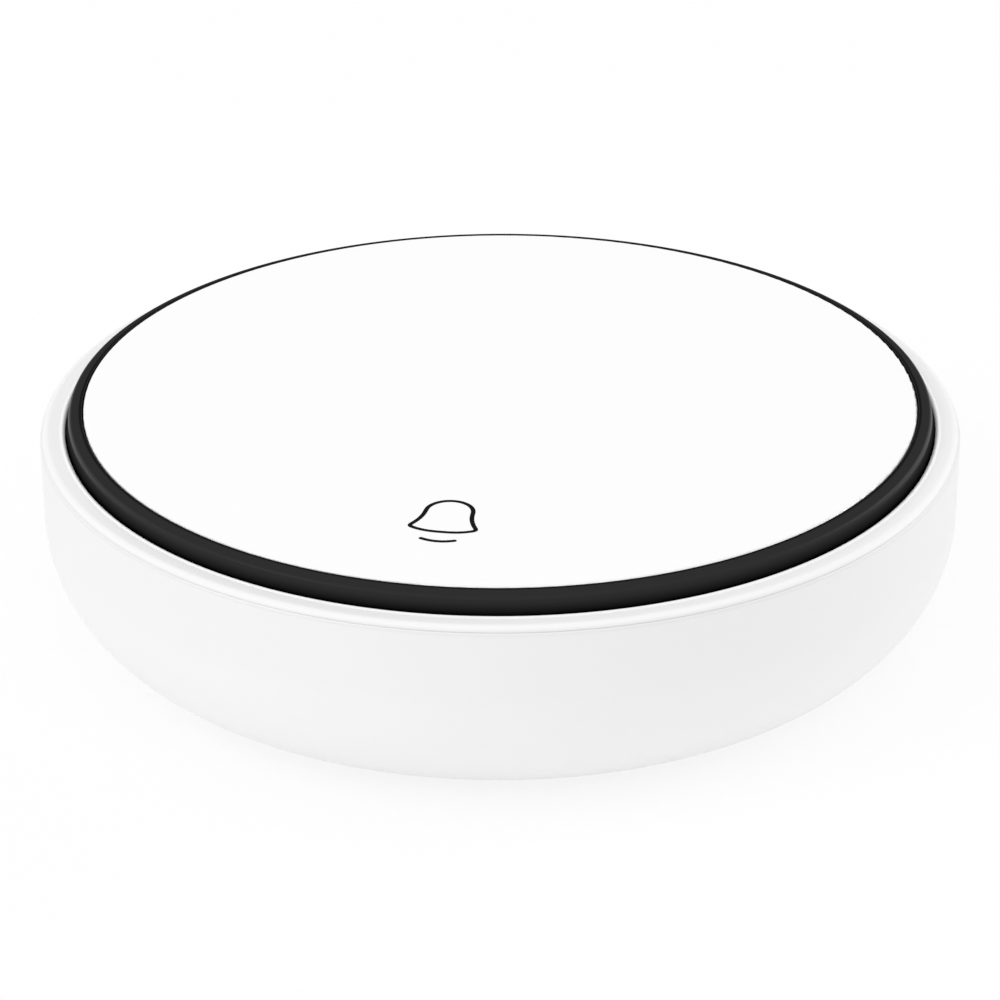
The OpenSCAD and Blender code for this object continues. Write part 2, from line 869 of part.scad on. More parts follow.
// Small resistors and capacitors
module chip_passives() {
    color("#b79a6b")
        for (step = passive_at)
            chip(passive_place(step), passive_w, passive_l, passive_h);
}

// Leaf that bears on the top of the cell
module negative_contact() {
    pad_in_r = cell_r - contact_pad;
    color(steel)
        translate([0, contact_w / 2, 0])
            rotate([90, 0, 0])
                linear_extrude(contact_w)
                    polygon(strip([
                        [cell_r, board_z - contact_t],
                        [pad_in_r, board_z - contact_t],
                        [contact_w / 2, cell_top + press_gap],
                        [-contact_w / 2, cell_top + press_gap],
                        [-contact_w, cell_top + contact_space / 2]
                    ], -contact_t));
}

// Leaf that bears on the side of the cell
module positive_contact() {
    leaf_r = cell_r + press_gap + contact_t;
    color(steel)
        rotate(90)
            translate([0, contact_w / 2, 0])
                rotate([90, 0, 0])
                    linear_extrude(contact_w)
                        polygon(strip([
                            [bay_out_r, board_z - contact_t],
                            [leaf_r + 2 * contact_t, board_z - contact_t],
                            [leaf_r, cell_top - cell_t / 4],
                            [leaf_r + contact_t, lug_top + door_gap]
                        ], -contact_t));
}

// Coin cell: wide can below, narrower cap above
module coin_cell() {
    color(steel)
        rotate_extrude() {
            difference() {
                band(0, cell_r, cell_z, cell_top - cell_cap_h);
                corner_waste(cell_r, cell_z, cell_round, 1, -1);
                corner_waste(cell_r, cell_top - cell_cap_h, cell_round, 1, 1);
            }
            band(0, cell_r - cell_cap_in, cell_z + cell_round, cell_top);
        }
}

// Twist-lock door with its coin slot, seal groove, collar and lugs
module battery_door() {
    color(white)
        difference() {
            union() {
                rotate_extrude()
                    difference() {
                        union() {
                            band(0, flange_r, base_z, base_z + flange_t);
                            band(0, hub_r, base_z, lug_top);
                        }
                        band(0, collar_in_r, door_in_z, lug_top + eps);
                        band(groove_in_r, groove_out_r, seal_floor, ledge_z);
                        corner_waste(flange_r, base_z, door_ease, 1, -1);
                    }
                turned(lug_count, 0)
                    sector(lug_angle)
                        band(hub_r - door_gap, lug_r, lug_z, lug_top);
            }
            block(slot_l - slot_w, slot_w, base_z - eps, base_z + slot_h);
            for (side = [-1, 1])
                translate([side * (slot_l - slot_w) / 2, 0, 0])
                    post(slot_w / 2, base_z - eps, base_z + slot_h);
            rotate(mark_at)
                mark_dot(mark_door_r);
        }
}

// Ring seal in the groove of the door
module door_seal() {
    color("#2b2b2b")
        rotate_extrude()
            translate([(groove_in_r + groove_out_r) / 2, seal_floor + seal_d / 2])
                circle(seal_d / 2);
}

// Ring pad that the button stands on
module foot_pad() {
    color("#9a9c9e")
        rotate_extrude()
            difference() {
                band(foot_in_r, foot_out_r, 0, foot_top);
                corner_waste(foot_in_r, 0, foot_ease, -1, -1);
                corner_waste(foot_out_r, 0, foot_ease, 1, -1);
            }
}

top_plate();
plate_adhesive();
button_cap();
return_springs();
upper_housing();
housing_gasket();
lower_housing();
housing_screws();
circuit_board();
board_screws();
switch_base();
switch_cover();
switch_dome();
switch_plunger();
switch_terminals();
radio_chip();
crystal_can();
chip_antenna();
chip_passives();
negative_contact();
positive_contact();
coin_cell();
battery_door();
door_seal();
foot_pad();
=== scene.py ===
"""Looks of the wireless call button: finishes, printed bell, springs, light and camera."""

import json
import math

import bpy
import numpy as np
from mathutils import Matrix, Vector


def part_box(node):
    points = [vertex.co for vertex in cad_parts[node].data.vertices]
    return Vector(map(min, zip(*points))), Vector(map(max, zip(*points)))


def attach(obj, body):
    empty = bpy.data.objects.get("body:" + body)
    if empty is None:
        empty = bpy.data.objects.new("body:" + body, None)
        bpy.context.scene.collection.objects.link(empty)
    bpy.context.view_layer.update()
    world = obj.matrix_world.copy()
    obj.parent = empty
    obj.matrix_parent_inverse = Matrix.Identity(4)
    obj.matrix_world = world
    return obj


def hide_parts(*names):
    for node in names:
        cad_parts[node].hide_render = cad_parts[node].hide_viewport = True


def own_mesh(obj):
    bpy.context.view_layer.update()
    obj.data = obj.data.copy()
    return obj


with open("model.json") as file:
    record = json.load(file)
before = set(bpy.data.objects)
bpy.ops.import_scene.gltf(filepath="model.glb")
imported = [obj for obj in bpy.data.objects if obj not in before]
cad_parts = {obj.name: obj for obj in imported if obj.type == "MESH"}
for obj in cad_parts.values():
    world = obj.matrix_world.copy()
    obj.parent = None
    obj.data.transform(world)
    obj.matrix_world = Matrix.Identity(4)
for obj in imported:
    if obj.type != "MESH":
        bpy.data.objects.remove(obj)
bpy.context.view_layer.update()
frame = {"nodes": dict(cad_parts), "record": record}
nodes = frame["nodes"]

MM = 0.001
WHITE = (1.0, 1.0, 1.0, 1.0)

# Places taken from the frame
PLATE_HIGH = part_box("top_plate")[1]
PLATE_RADIUS = PLATE_HIGH.x
PLATE_TOP = PLATE_HIGH.z
RIM_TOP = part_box("upper_housing")[1].z
BODY_LOW, BODY_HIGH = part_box("lower_housing")
BODY_RADIUS = BODY_HIGH.x
EDGE_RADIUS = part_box("button_cap")[1].x
COIL_LOW, COIL_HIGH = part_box("return_springs")
DOME_LOW, DOME_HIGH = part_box("switch_dome")

# Turned skins that give the rim, the wall and the black edge round sections of their own.
# All lie a little outside the solids, and rim and edge are tucked into the gap between them.
SKIN_LIFT = 0.002 * MM
SKIN_TUCK = 0.35 * MM

# Section of the rim, from the opening to the seam
OPENING_RADIUS = 28.38 * MM
RIM_EASE = 0.2 * MM
RIM_LIP_HEIGHT = 0.06 * MM
RIM_LIP_WIDTH = 0.17 * MM
RIM_ROUND = 0.6 * MM
RIM_EDGE = 0.3 * MM
SEAM_EDGE_REACH = 0.5 * MM
SEAM_EDGE_WIDTH = 0.02 * MM
SEAM_EDGE_HEIGHT = 0.012 * MM

# Section of the wall, from the seam to the base
SEAM_GAP = 0.05 * MM
WALL_EASE = 0.2 * MM
WALL_RISE = 0.036 * MM
BASE_ROUND = 8.2 * MM
BASE_INNER_RADIUS = 21.42 * MM

# Section of the black edge, from the plate to the rim
EDGE_INNER_RADIUS = 27.25 * MM
EDGE_INNER_ROUND = 0.03 * MM
EDGE_INNER_TUCK = 0.3 * MM
EDGE_LAND_RADIUS = 27.4 * MM
EDGE_DROP = 0.04 * MM
SHOULDER_RADIUS = 28.09 * MM
SHOULDER_DROP = 0.29 * MM
SHOULDER_ROUND = 0.2 * MM

# Finish of the black edge from the rim (0) to the top of the plate (1): its grey, and how dull it is. The
# grey holds painted shade: it falls to near black at the foot by the rim and dips again on the land by the
# plate, painted shade of the gaps there.
EDGE_GREY_AND_PAINTED_SHADE = [
    (0.0, 0.001), (0.14, 0.0085), (0.52, 0.024), (0.795, 0.021), (0.83, 0.0275), (0.95, 0.0275), (0.97, 0.01)]
EDGE_DULL = [(0.5, 1.0), (0.735, 0.0), (0.795, 0.0), (0.825, 1.0)]
EDGE_IOR = 1.17
EDGE_GRAIN = 0.12 * MM
SATIN_ROUGHNESS = 0.3
SATIN_SPREAD = 0.05
DULL_ROUGHNESS = 0.7

# Greys of the white skins: the wall over its span from the ground up, the rim from the opening outwards. They
# hold painted light and shade: the wall is painted lighter towards the ground and has a painted dark band at
# its top, under the seam; the rim is painted lighter by the opening, where the black edge shades it, and
# darker towards the seam.
WALL_SPAN = 14 * MM
WALL_GREY_AND_PAINTED_SHADING = [(0.0, 0.99), (0.45, 0.908), (0.68, 0.875), (0.967, 0.87), (0.98, 0.79), (0.987, 0.9)]
RIM_GREY_AND_PAINTED_SHADING = [(0.0, 0.985), (0.28, 0.98), (0.5, 0.945), (0.87, 0.89), (0.95, 0.785)]

# Streaks in metal: the shade of the dark ones, the gloss that they span and their depth
STREAK_SHADE = 0.8
STREAK_GLOSS_LOW = 0.7
STREAK_GLOSS_RISE = 0.6
STREAK_DEPTH = 0.004 * MM

# Mask of the board and the copper under it
MASK_OVER_LAMINATE = (0.01, 0.085, 0.03)
MASK_OVER_COPPER = (0.022, 0.15, 0.055)
MASK_ROUGHNESS = 0.3
MASK_ROUGH_SPREAD = 0.1
COPPER_CELL = 4.5 * MM
COPPER_CELL_JITTER = 0.7
COPPER_ROWS_BELOW = 0.3
COPPER_COLUMNS_ABOVE = 0.7
TRACK_PITCH = 0.7 * MM
TRACK_GAP = 0.3
TRACK_HEIGHT = 0.02 * MM
MASK_CLOUD = 4 * MM

# Printed bell, drawn on the plate with its foot towards -Y
BELL_DOME_RADIUS = 1.463 * MM
BELL_DOME_MIDDLE = -17.535 * MM
BELL_FOOT_HALF = 2.124 * MM
BELL_FOOT = -19.785 * MM
BELL_FOOT_SAG = 0.545 * MM
BELL_FOOT_POWER = 2.7
BELL_FLARE = 2.1
BELL_EASE = 0.3 * MM
CLAPPER_HALF = 1.162 * MM
CLAPPER_END = -21.29 * MM
CLAPPER_SAG = 0.3 * MM
PRINT_WIDTH = 0.3 * MM
PRINT_HEIGHT = 0.012 * MM
PRINT_FLAT_SHARE = 0.92
PRINT_SUNK_SHARE = 0.5

# Return springs
SPRING_COUNT = 4
COIL_OUTER_RADIUS = 1.8 * MM
WIRE_RADIUS = 0.2 * MM
COIL_TURNS = 5.5
DEAD_TURNS = 0.9
EASE_TURNS = 0.4
DEAD_PITCH = 2.04 * WIRE_RADIUS

# Snap dome in the switch: its sheet, and the share of its radius that is flat in the middle
DOME_SHEET = 0.1 * MM
DOME_FLAT_SHARE = 0.03

# Camera of the photograph, in plate radii from the middle of the plate
CAMERA_AZIMUTH = 10.25
CAMERA_TILT = 26.418
CAMERA_ROLL = -0.16
CAMERA_DISTANCE = 9.0
CAMERA_LOWER = 0.257
CAMERA_ASIDE = -0.00105
CAMERA_LENS = 134.51
CAMERA_SENSOR = 36.0
CAMERA_NEAR = 0.01

# Surroundings and floor
WORLD_LIGHT = 0.7
WORLD_WHITE = 1.0
FLOOR_HALF = 3.0
FLOOR_GREY = (0.95, 0.95, 0.95, 1.0)
FLOOR_ROUGHNESS = 0.9
FLOOR_GLOW_SHARE = 0.85


class Wire:
    """A socket in a node tree. Arithmetic on wires adds Math nodes to the tree."""

    def __init__(self, tree, socket=None):
        self.tree = tree
        self.socket = socket

    def node(self, kind, settings=None, inputs=None, output=0):
        """Adds a node: its settings are made first, then its inputs get values or wires."""
        made = self.tree.nodes.new("ShaderNode" + kind)
        for name, value in (settings or {}).items():
            if name == "stops":
                set_stops(made.color_ramp, value)
            else:
                setattr(made, name, value)
        for name, value in (inputs or {}).items():
            if isinstance(value, Wire):
                self.tree.links.new(value.socket, made.inputs[name])
            else:
                made.inputs[name].default_value = value
        return Wire(self.tree, made.outputs[output])

    def math(self, operation, first, second=0.0):
        """Adds a Math node; an operation on one value leaves the second out."""
        return self.node("Math", {"operation": operation}, {0: first, 1: second})

    def __add__(self, other):
        return self.math("ADD", self, other)

    def __radd__(self, other):
        return self.math("ADD", other, self)

    def __sub__(self, other):
        return self.math("SUBTRACT", self, other)

    def __rsub__(self, other):
        return self.math("SUBTRACT", other, self)

    def __mul__(self, other):
        return self.math("MULTIPLY", self, other)

    def __rmul__(self, other):
        return self.math("MULTIPLY", other, self)

    def __truediv__(self, other):
        return self.math("DIVIDE", self, other)

    def __pow__(self, other):
        return self.math("POWER", self, other)


def set_stops(ramp, stops):
    """Gives a colour ramp its stops, a list of (place, grey value)."""
    while len(ramp.elements) > 1:
        ramp.elements.remove(ramp.elements[-1])
    for i, (place, value) in enumerate(stops):
        stop = ramp.elements[0] if i == 0 else ramp.elements.new(place)
        stop.position = place
        stop.color = (value, value, value, 1.0)


def new_material(name, **constants):
    """A material with one Principled shader; returns it with its tree as a wire and the shader."""
    material = bpy.data.materials.new(name)
    material.use_nodes = True
    shader = material.node_tree.nodes["Principled BSDF"]
    for socket, value in constants.items():
        shader.inputs[socket.replace("_", " ")].default_value = value
    return material, Wire(material.node_tree), shader


def feed(shader, socket, wire):
    """Links a wire to a socket of the shader."""
    wire.tree.links.new(wire.socket, shader.inputs[socket])


def grain(tree, size, detail=3.0):
    """Noise between 0 and 1 whose lumps are about size metres across."""
    place = tree.node("TexCoord", output="Object")
    return tree.node("TexNoise", {}, {"Vector": place, "Scale": 1.0 / size, "Detail": detail}, "Fac")


def tint(tree, factor, low, high):
    """Colour that runs from low to high as factor goes from 0 to 1."""
    return tree.node("Mix", {"data_type": "RGBA"}, {0: factor, 6: (*low, 1.0), 7: (*high, 1.0)}, 2)


def relief(shader, tree, height, depth):
    """Feeds a bump of the given depth in metres to the shader."""
    feed(shader, "Normal", tree.node("Bump", {}, {"Strength": 1.0, "Distance": depth, "Height": height}))


def moulded(name, colour, spread, roughness, rough_spread, lump, skin, skin_depth, **constants):
    """Moulded plastic: faint mottling and gloss changes at lump size, and a fine skin texture."""
    material, tree, shader = new_material(name, **constants)
    cloud = grain(tree, lump)
    fine = grain(tree, skin, detail=2.0)
    dark = tuple(c * (1.0 - spread) for c in colour)
    feed(shader, "Base Color", tint(tree, cloud, dark, colour))
    feed(shader, "Roughness", roughness + (cloud - 0.5) * rough_spread + (fine - 0.5) * rough_spread)
    relief(shader, tree, fine, skin_depth)
    return material


def plated(name, colour, roughness, streak, stretch):
    """Metal sheet or wire: streaks along X that vary the gloss and the colour."""
    material, tree, shader = new_material(name, Metallic=1.0)
    place = tree.node("TexCoord", output="Object")
    drawn = tree.node("Mapping", {}, {"Vector": place, "Scale": (1.0 / stretch, 1.0, 1.0)})
    lines = tree.node("TexNoise", {}, {"Vector": drawn, "Scale": 1.0 / streak, "Detail": 4.0}, "Fac")
    dark = tuple(c * STREAK_SHADE for c in colour)
    feed(shader, "Base Color", tint(tree, lines, dark, colour))
    feed(shader, "Roughness", roughness * STREAK_GLOSS_LOW + lines * roughness * STREAK_GLOSS_RISE)
    relief(shader, tree, lines, STREAK_DEPTH)
    return material


def graded(name, ramp_place, stops, roughness, rough_spread, skin, skin_depth, **constants):
    """Plastic whose grey follows a ramp over a place on the part, with a fine skin texture. The place is a
    function that makes a wire from the object coordinates X, Y and Z."""
    material, tree, shader = new_material(name, **constants)
    place = tree.node("TexCoord", output="Object")
    axes = [tree.node("SeparateXYZ", {}, {0: place}, k) for k in range(3)]
    shade = tree.node("ValToRGB", {"stops": stops}, {0: ramp_place(*axes)}, "Color")
    fine = grain(tree, skin, detail=2.0)
    feed(shader, "Base Color", shade)
    feed(shader, "Roughness", roughness + (fine - 0.5) * rough_spread)
    relief(shader, tree, fine, skin_depth)
    return material


def edge_black():
    """Black edge: a dull face and side with a satin band along the shoulder between them. The dull and the
    satin shader share one grey, and the height mixes them. That grey falls towards the rim, painted shade at
    the foot of the edge, and dips on the land by the plate, painted shade of the gap there."""
    material, tree, shader = new_material("edge_black", IOR=EDGE_IOR)
    place = tree.node("TexCoord", output="Object")
    height = tree.node("SeparateXYZ", {}, {0: place}, 2)
    share = (height - RIM_TOP) / (PLATE_TOP - RIM_TOP)
    shade = tree.node("ValToRGB", {"stops": EDGE_GREY_AND_PAINTED_SHADE}, {0: share}, "Color")
    fine = grain(tree, EDGE_GRAIN, detail=2.0)
    feed(shader, "Base Color", shade)
    feed(shader, "Roughness", SATIN_ROUGHNESS + fine * SATIN_SPREAD)
    dull = tree.node(
        "BsdfPrincipled", {}, {"Base Color": shade, "Roughness": DULL_ROUGHNESS, "Specular IOR Level": 0.0})
    dullness = tree.node("ValToRGB", {"stops": EDGE_DULL}, {0: share}, "Color")
    mixed = tree.node("MixShader", {}, {0: dullness, 1: Wire(tree.tree, shader.outputs[0]), 2: dull})
    tree.tree.links.new(mixed.socket, material.node_tree.nodes["Material Output"].inputs["Surface"])
    return material


def board_mask():
    """Green solder mask over copper. Blocky cells are either a plain pour or parallel tracks along X or Y,
    picked by the cell's random colour, and bare laminate shows darker between the tracks."""
    material, tree, shader = new_material("board_mask", Coat_Weight=0.3)
    place = tree.node("TexCoord", output="Object")
    across, along = (tree.node("SeparateXYZ", {}, {0: place}, k) for k in range(2))
    flat = tree.node("CombineXYZ", {}, {0: across, 1: along})
    cells = tree.node(
        "TexVoronoi", {"distance": "CHEBYCHEV"},
        {"Vector": flat, "Scale": 1.0 / COPPER_CELL, "Randomness": COPPER_CELL_JITTER}, "Color")
    pick = tree.node("SeparateColor", {}, {0: cells}, 0)
    low = tree.math("LESS_THAN", pick, COPPER_ROWS_BELOW)
    high = tree.math("GREATER_THAN", pick, COPPER_COLUMNS_ABOVE)
    rows, columns = (
        tree.math("GREATER_THAN", tree.math("FRACT", k / TRACK_PITCH), TRACK_GAP) for k in (along, across))
    copper = low * rows + high * columns + (1.0 - low - high)
    cloud = grain(tree, MASK_CLOUD)
    feed(shader, "Base Color", tint(tree, copper, MASK_OVER_LAMINATE, MASK_OVER_COPPER))
    feed(shader, "Roughness", MASK_ROUGHNESS + cloud * MASK_ROUGH_SPREAD)
    relief(shader, tree, copper, TRACK_HEIGHT)
    return material


# Finishes, one per material slot of the record
FINISHES = {
    "plate_white": moulded(
        "plate_white", (0.955, 0.955, 0.955), spread=0.004, roughness=0.11, rough_spread=0.02,
        lump=9 * MM, skin=2.5 * MM, skin_depth=0.002 * MM, Coat_Weight=0.25, Coat_Roughness=0.04, IOR=1.49),
    "cap_black": moulded(
        "cap_black", (0.006, 0.006, 0.0064), spread=0.2, roughness=0.32, rough_spread=0.05,
        lump=3 * MM, skin=0.12 * MM, skin_depth=0.003 * MM, IOR=1.16),
    "shell_white": moulded(
        "shell_white", (0.86, 0.86, 0.86), spread=0.01, roughness=0.4, rough_spread=0.05,
        lump=6 * MM, skin=0.1 * MM, skin_depth=0.004 * MM, IOR=1.5),
    "adhesive_film": moulded(
        "adhesive_film", (0.75, 0.74, 0.68), spread=0.08, roughness=0.25, rough_spread=0.1,
        lump=2 * MM, skin=0.3 * MM, skin_depth=0.01 * MM),
    "spring_steel": plated("spring_steel", (0.6, 0.6, 0.62), roughness=0.28, streak=0.05 * MM, stretch=8.0),
    "screw_steel": plated("screw_steel", (0.62, 0.62, 0.64), roughness=0.3, streak=0.08 * MM, stretch=3.0),
    "contact_metal": plated(
        "contact_metal", (0.66, 0.64, 0.6), roughness=0.25, streak=0.06 * MM, stretch=12.0),
    "cell_steel": plated("cell_steel", (0.66, 0.66, 0.67), roughness=0.22, streak=0.05 * MM, stretch=20.0),
    "gasket_silicone": moulded(
        "gasket_silicone", (0.35, 0.36, 0.37), spread=0.1, roughness=0.62, rough_spread=0.08,
        lump=2 * MM, skin=0.15 * MM, skin_depth=0.008 * MM),
    "seal_rubber": moulded(
        "seal_rubber", (0.02, 0.02, 0.02), spread=0.2, roughness=0.55, rough_spread=0.1,
        lump=1 * MM, skin=0.1 * MM, skin_depth=0.006 * MM),
    "pad_rubber": moulded(
        "pad_rubber", (0.3, 0.3, 0.31), spread=0.12, roughness=0.75, rough_spread=0.1,
        lump=1.2 * MM, skin=0.18 * MM, skin_depth=0.03 * MM),
    "switch_plastic": moulded(
        "switch_plastic", (0.02, 0.02, 0.022), spread=0.2, roughness=0.45, rough_spread=0.08,
        lump=1 * MM, skin=0.08 * MM, skin_depth=0.005 * MM),
    "chip_epoxy": moulded(
        "chip_epoxy", (0.016, 0.016, 0.018), spread=0.25, roughness=0.6, rough_spread=0.1,
        lump=0.8 * MM, skin=0.06 * MM, skin_depth=0.006 * MM),
    "chip_ceramic": moulded(
        "chip_ceramic", (0.62, 0.55, 0.42), spread=0.1, roughness=0.5, rough_spread=0.08,
        lump=0.6 * MM, skin=0.08 * MM, skin_depth=0.005 * MM),
    "board_green": board_mask(),
}

# Finishes of the turned skins and of the print. The skins' greys carry the painted light and shade of their
# ramps above.
WALL_FINISH = graded(
    "wall_white", lambda x, y, z: z / WALL_SPAN,
    WALL_GREY_AND_PAINTED_SHADING, roughness=0.4, rough_spread=0.05, skin=0.1 * MM, skin_depth=0.004 * MM, IOR=1.5)
RIM_FINISH = graded(
    "rim_white", lambda x, y, z: ((x * x + y * y) ** 0.5 - OPENING_RADIUS) / (BODY_RADIUS - OPENING_RADIUS),
    RIM_GREY_AND_PAINTED_SHADING, roughness=0.4, rough_spread=0.05, skin=0.1 * MM, skin_depth=0.004 * MM, IOR=1.5)
PRINT_FINISH = moulded(
    "print_ink", (0.007, 0.007, 0.0075), spread=0.2, roughness=0.5, rough_spread=0.05,
    lump=1 * MM, skin=0.1 * MM, skin_depth=0.002 * MM, IOR=1.05)


def dress_nodes():
    """Gives every carried-over node the finish of its material slot."""
    for part in frame["record"]["subparts"]:
        node = nodes[part["node"]]
        node.data.materials.clear()
        node.data.materials.append(FINISHES[part["material_slot"]])


def mesh_object(name, points, faces, material, smooth=True):
    """Object at the origin whose mesh has the given points and faces."""
    mesh = bpy.data.meshes.new(name)
    mesh.from_pydata(points.reshape(-1, 3).tolist(), [], faces)
    mesh.polygons.foreach_set("use_smooth", np.full(len(mesh.polygons), smooth))
    mesh.materials.append(material)
    mesh.update()
    made = bpy.data.objects.new(name, mesh)
    bpy.context.scene.collection.objects.link(made)
    return made


def grid_faces(rows, columns, close_rows, close_columns):
    """Quads of a grid of points, row by row, joined end to end where asked."""
    i = np.arange(rows if close_rows else rows - 1)[:, None]
    j = np.arange(columns if close_columns else columns - 1)[None, :]
    i_next = (i + 1) % rows
    j_next = (j + 1) % columns
    corners = [i * columns + j, i_next * columns + j, i_next * columns + j_next, i * columns + j_next]
    return np.stack([np.broadcast_to(c, (i.shape[0], j.shape[1])) for c in corners], -1).reshape(-1, 4)


def tube_faces(rows, columns, closed, start=0):
    """Faces of a tube whose rings are the rows of a grid of points, counted on from start. The tube is closed
    to a loop, or each of its ends gets a flat cap."""
    faces = (grid_faces(rows, columns, closed, True) + start).tolist()
    if not closed:
        first_ring = np.arange(start, start + columns)
        last_ring = first_ring + (rows - 1) * columns
        faces += [first_ring.tolist(), last_ring[::-1].tolist()]
    return faces


def arc(middle, across, up, start, end, count=24):
    """Points of an ellipse round a (radius, height) middle, from a start to an end angle in degrees."""
    turn = np.radians(np.linspace(start, end, count))
    return np.stack([middle[0] + across * np.cos(turn), middle[1] + up * np.sin(turn)], -1)


def turned(profile, count):
    """Points of a profile of (radius, height) points turned about the Z axis, one ring for each point."""
    turn = np.linspace(0.0, 2.0 * math.pi, count, endpoint=False)
    return np.stack([
        profile[:, :1] * np.cos(turn)[None, :],
        profile[:, :1] * np.sin(turn)[None, :],
        np.broadcast_to(profile[:, 1:], (len(profile), count)),
    ], -1)


def turned_skin(name, profile, material, body, count=720):
    """Surface of a profile of (radius, height) points turned about the Z axis. Its points run from the
    inside out or down, so that its faces look away from the part."""
    faces = grid_faces(len(profile), count, False, True).tolist()
    piece = mesh_object(name, turned(profile, count), faces, material)
    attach(piece, body)


def make_rim(material):
    """Rim of the upper housing: up the opening, over a small round, down a low lip that falls as a squared
    cosine, across the land and round the outside down to the seam."""
    seam = RIM_TOP - RIM_EDGE
    inner = OPENING_RADIUS + RIM_EASE
    outer = BODY_RADIUS - RIM_ROUND
    inner_round = RIM_EASE + SKIN_LIFT
    outer_round = RIM_ROUND + SKIN_LIFT
    lip = np.linspace(0.0, 1.0, 14)[1:]
    lip_fall = RIM_LIP_HEIGHT * np.cos(0.5 * math.pi * lip) ** 2
    land = np.linspace(inner + RIM_LIP_WIDTH, outer, 12)[1:-1]
    profile = np.vstack([
        [[OPENING_RADIUS - SKIN_LIFT, RIM_TOP - SKIN_TUCK]],
        arc((inner, RIM_TOP + RIM_LIP_HEIGHT - RIM_EASE), inner_round, inner_round, 180, 90, 12),
        np.stack([inner + RIM_LIP_WIDTH * lip, RIM_TOP + SKIN_LIFT + lip_fall], -1),
        np.stack([land, np.full(len(land), RIM_TOP + SKIN_LIFT)], -1),
        arc((outer, RIM_TOP - RIM_ROUND), outer_round, outer_round, 90, 30, 24),
        arc((outer + SEAM_EDGE_REACH, seam), SEAM_EDGE_WIDTH, SEAM_EDGE_HEIGHT, 0, -90, 6),
        [[BODY_RADIUS - WALL_EASE, seam - SEAM_EDGE_HEIGHT]],
    ])
    turned_skin("rim_skin", profile, material, "housing")


def make_wall(material):
    """Outside of the lower housing: a round at the seam, a straight wall, a large round and the base lip."""
    seam = RIM_TOP - RIM_EDGE
    top = seam - SEAM_GAP
    wall_low = BODY_LOW.z + BASE_ROUND
    base_round = BASE_ROUND + SKIN_LIFT
    radius = BODY_RADIUS + SKIN_LIFT
    heights = np.linspace(top - WALL_EASE, wall_low, 12)[1:-1]
    top_middle = (BODY_RADIUS - WALL_EASE, top - WALL_EASE)
    profile = np.vstack([
        arc(top_middle, WALL_EASE + SKIN_LIFT, WALL_EASE + WALL_RISE, 92, 0, 24),
        np.stack([np.full(len(heights), radius), heights], -1),
        arc((BODY_RADIUS - BASE_ROUND, wall_low), base_round, base_round, 0, -90, 64),
        [[BASE_INNER_RADIUS, BODY_LOW.z - SKIN_LIFT]],
    ])
    turned_skin("wall_skin", profile, material, "housing")


def make_edge(material):
    """Black edge round the plate: a land, a slope, a rounded shoulder and the side down past the rim."""
    top = PLATE_TOP - EDGE_DROP
    land = np.array([EDGE_LAND_RADIUS, top])
    shoulder = np.array([SHOULDER_RADIUS, PLATE_TOP - SHOULDER_DROP])
    foot = np.array([EDGE_RADIUS, RIM_TOP])
    fall = (shoulder - land) / np.linalg.norm(shoulder - land)
    side = (foot - shoulder) / np.linalg.norm(foot - shoulder)
    slope_turn = math.degrees(math.atan2(fall[0], -fall[1]))
    side_turn = math.degrees(math.atan2(side[0], -side[1]))
    run = SHOULDER_ROUND * math.tan(math.radians(slope_turn - side_turn) / 2.0)
    start = shoulder - fall * run
    above_slope = np.array([-fall[1], fall[0]])
    off_side = np.array([-side[1], side[0]])
    middle = start - SHOULDER_ROUND * above_slope
    shoulder_round = SHOULDER_ROUND + SKIN_LIFT
    lift_up = above_slope * SKIN_LIFT
    lift_out = off_side * SKIN_LIFT
    inner_middle = (EDGE_INNER_RADIUS + EDGE_INNER_ROUND, top - EDGE_INNER_ROUND)
    inner_round = EDGE_INNER_ROUND + SKIN_LIFT
    profile = np.vstack([
        [[EDGE_INNER_RADIUS - SKIN_LIFT, top - EDGE_INNER_TUCK]],
        arc(inner_middle, inner_round, inner_round, 180, 90, 8),
        [land + (0.0, SKIN_LIFT)],
        np.linspace(land + lift_up, start + lift_up, 8)[1:-1],
        arc(middle, shoulder_round, shoulder_round, slope_turn, side_turn, 24),
        np.linspace(shoulder + side * run + lift_out, foot + lift_out, 10)[1:],
        [[EDGE_RADIUS + SKIN_LIFT, RIM_TOP - SKIN_TUCK]],
    ])
    turned_skin("edge_skin", profile, material, "button")


def even_path(path, count, closed):
    """Points at even distances along a path of straight pieces, and the length of the path."""
    if closed:
        path = np.vstack([path, path[:1]])
    run = np.concatenate([[0.0], np.cumsum(np.linalg.norm(np.diff(path, axis=0), axis=1))])
    places = np.linspace(0.0, run[-1], count, endpoint=not closed)
    return np.stack([np.interp(places, run, path[:, k]) for k in range(path.shape[1])], -1), run[-1]


